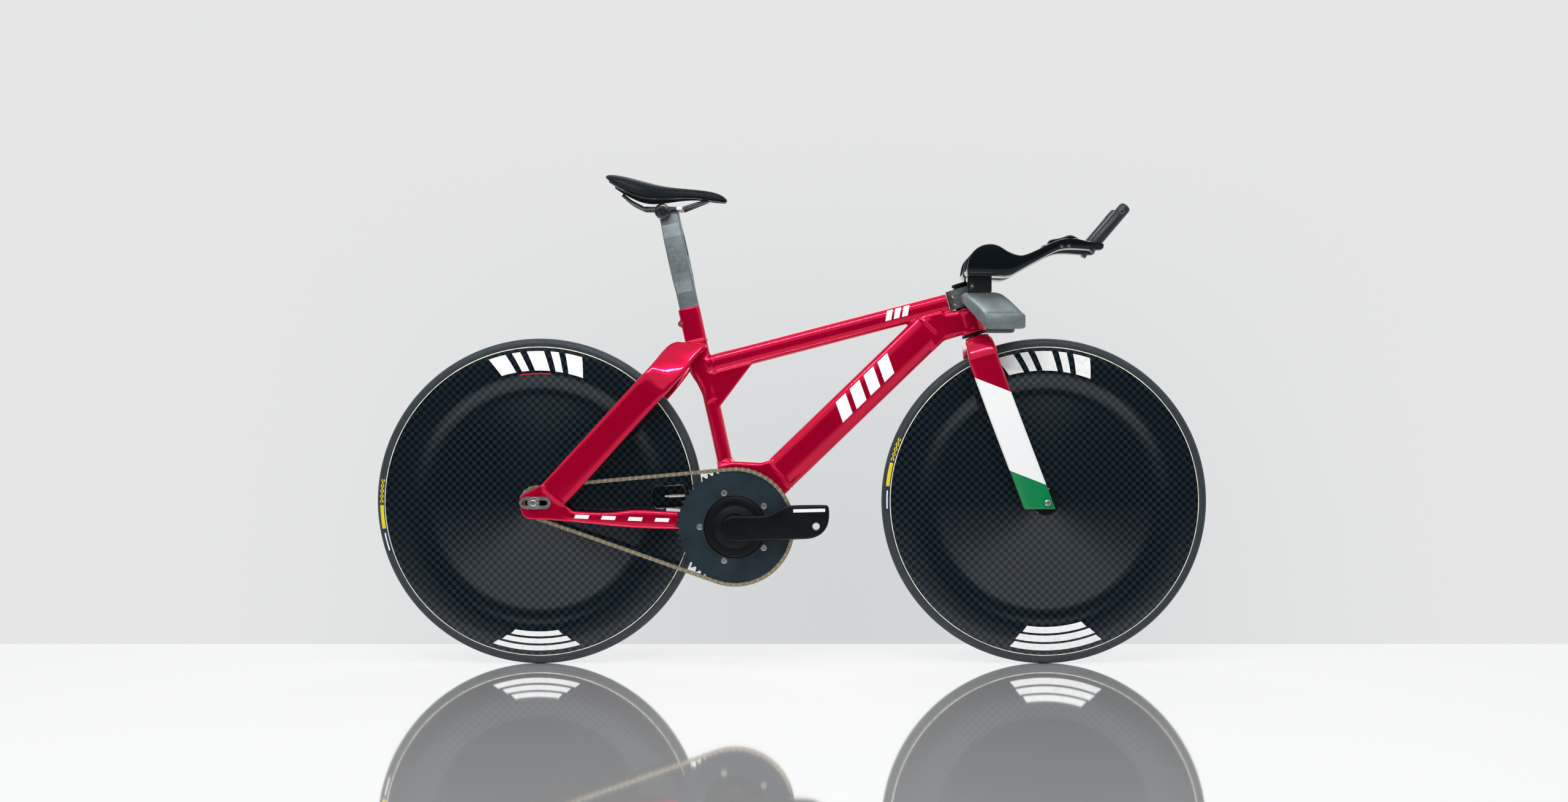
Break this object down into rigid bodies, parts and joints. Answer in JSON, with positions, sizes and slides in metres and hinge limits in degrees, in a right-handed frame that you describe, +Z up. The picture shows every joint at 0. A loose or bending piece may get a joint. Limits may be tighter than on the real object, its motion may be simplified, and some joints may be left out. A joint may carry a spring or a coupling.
{
  "type": "track bicycle",
  "caption": "Fixed-gear pursuit bicycle with two disc wheels, sloping oval frame, drop base bar and forearm rests, no brakes and no pedals.",
  "frame": {"origin": "on the ground, midway between the two wheels' contact points", "axes": "+X forward, +Y to the rider's left, +Z up; the drive side is at -Y"},
  "size_m": [1.7036, 0.202, 1.002],
  "materials": {
    "red_paint": "candy red under gloss clear coat",
    "fork_paint": "gloss red, white and green bands",
    "gloss_carbon": "woven carbon under gloss lacquer",
    "tyre_rubber": "matt, slick",
    "bare_aluminium": "raw, brushed",
    "anodised_black": "satin black anodised",
    "black_trim": "satin black",
    "bright_steel": "bright",
    "pale_gold_steel": "pale gold plating",
    "saddle_cover": "black, dotted grain",
    "pad_foam": "black foam with cloth face"
  },
  "bodies": {
    "frame": {"head_tube": "red_paint", "top_tube": "red_paint", "down_tube": "red_paint", "seat_tube": "red_paint", "bottom_bracket_shell": "red_paint", "chainstay_right": "red_paint", "chainstay_left": "red_paint", "seat_stay_right": "red_paint", "seat_stay_left": "red_paint", "dropout_insert_right": "bright_steel", "dropout_insert_left": "bright_steel", "seatpost_binder_bolt": "bright_steel", "bracket_cup_right": "anodised_black", "bracket_cup_left": "anodised_black", "headset_bearing_upper": "anodised_black", "headset_bearing_lower": "anodised_black", "chain": "pale_gold_steel", "rear_axle": "bright_steel", "axle_nut_right": "bright_steel", "axle_nut_left": "bright_steel"},
    "crankset": {"crank_spindle": "bright_steel", "crank_arm_right": "anodised_black", "crank_arm_left": "anodised_black", "chainring": "anodised_black", "chainring_bolt_1": "bright_steel", "chainring_bolt_2": "bright_steel", "chainring_bolt_3": "bright_steel", "chainring_bolt_4": "bright_steel", "chainring_bolt_5": "bright_steel"},
    "rear_wheel": {"rear_tyre": "tyre_rubber", "rear_disc_right": "gloss_carbon", "rear_disc_left": "gloss_carbon", "rear_hub": "anodised_black", "sprocket": "bright_steel", "sprocket_lockring": "bright_steel", "rear_valve": "bright_steel"},
    "steering": {"fork_crown": "fork_paint", "fork_blade_right": "fork_paint", "fork_blade_left": "fork_paint", "front_axle": "bright_steel", "front_axle_nut": "bright_steel", "stem": "bare_aluminium", "stem_bolt_lower": "bright_steel", "stem_bolt_upper": "bright_steel", "top_cap": "black_trim", "base_bar": "bare_aluminium", "riser_block": "anodised_black", "forearm_rest_right": "gloss_carbon", "forearm_rest_left": "gloss_carbon", "arm_pad_right": "pad_foam", "arm_pad_left": "pad_foam"},
    "front_wheel": {"front_tyre": "tyre_rubber", "front_disc_right": "gloss_carbon", "front_disc_left": "gloss_carbon", "front_hub": "anodised_black"},
    "seatpost": {"seatpost": "bare_aluminium"},
    "saddle": {"saddle_clamp": "anodised_black", "saddle_rails": "bright_steel", "saddle_pad": "saddle_cover", "saddle_shell": "black_trim"}
  },
  "joints": [
    {"name": "rear_wheel_spin", "type": "hinge", "parent": "frame", "child": "rear_wheel", "pos_m": [-0.5178, 0, 0.334], "axis": [0, 1, 0], "continuous": true},
    {"name": "crank_spin", "type": "hinge", "parent": "frame", "child": "crankset", "pos_m": [-0.11422, 0, 0.2837], "axis": [0, 1, 0], "continuous": true},
    {"name": "steering", "type": "hinge", "parent": "frame", "child": "steering", "pos_m": [0.37686, 0, 0.67178], "axis": [-0.284, 0, 0.9588], "range_deg": [-45, 45]},
    {"name": "front_wheel_spin", "type": "hinge", "parent": "steering", "child": "front_wheel", "pos_m": [0.5178, 0, 0.334], "axis": [0, 1, 0], "continuous": true},
    {"name": "seatpost_height", "type": "slide", "parent": "frame", "child": "seatpost", "axis": [-0.213, 0, 0.977], "range_m": [-0.015, 0.045]},
    {"name": "saddle_tilt", "type": "hinge", "parent": "seatpost", "child": "saddle", "pos_m": [-0.26445, 0, 0.9271], "axis": [0, 1, 0], "range_deg": [-8, 8]}
  ],
  "couplings": [
    {"joint": "crank_spin", "follows": "rear_wheel_spin", "ratio": 0.25862}
  ]
}
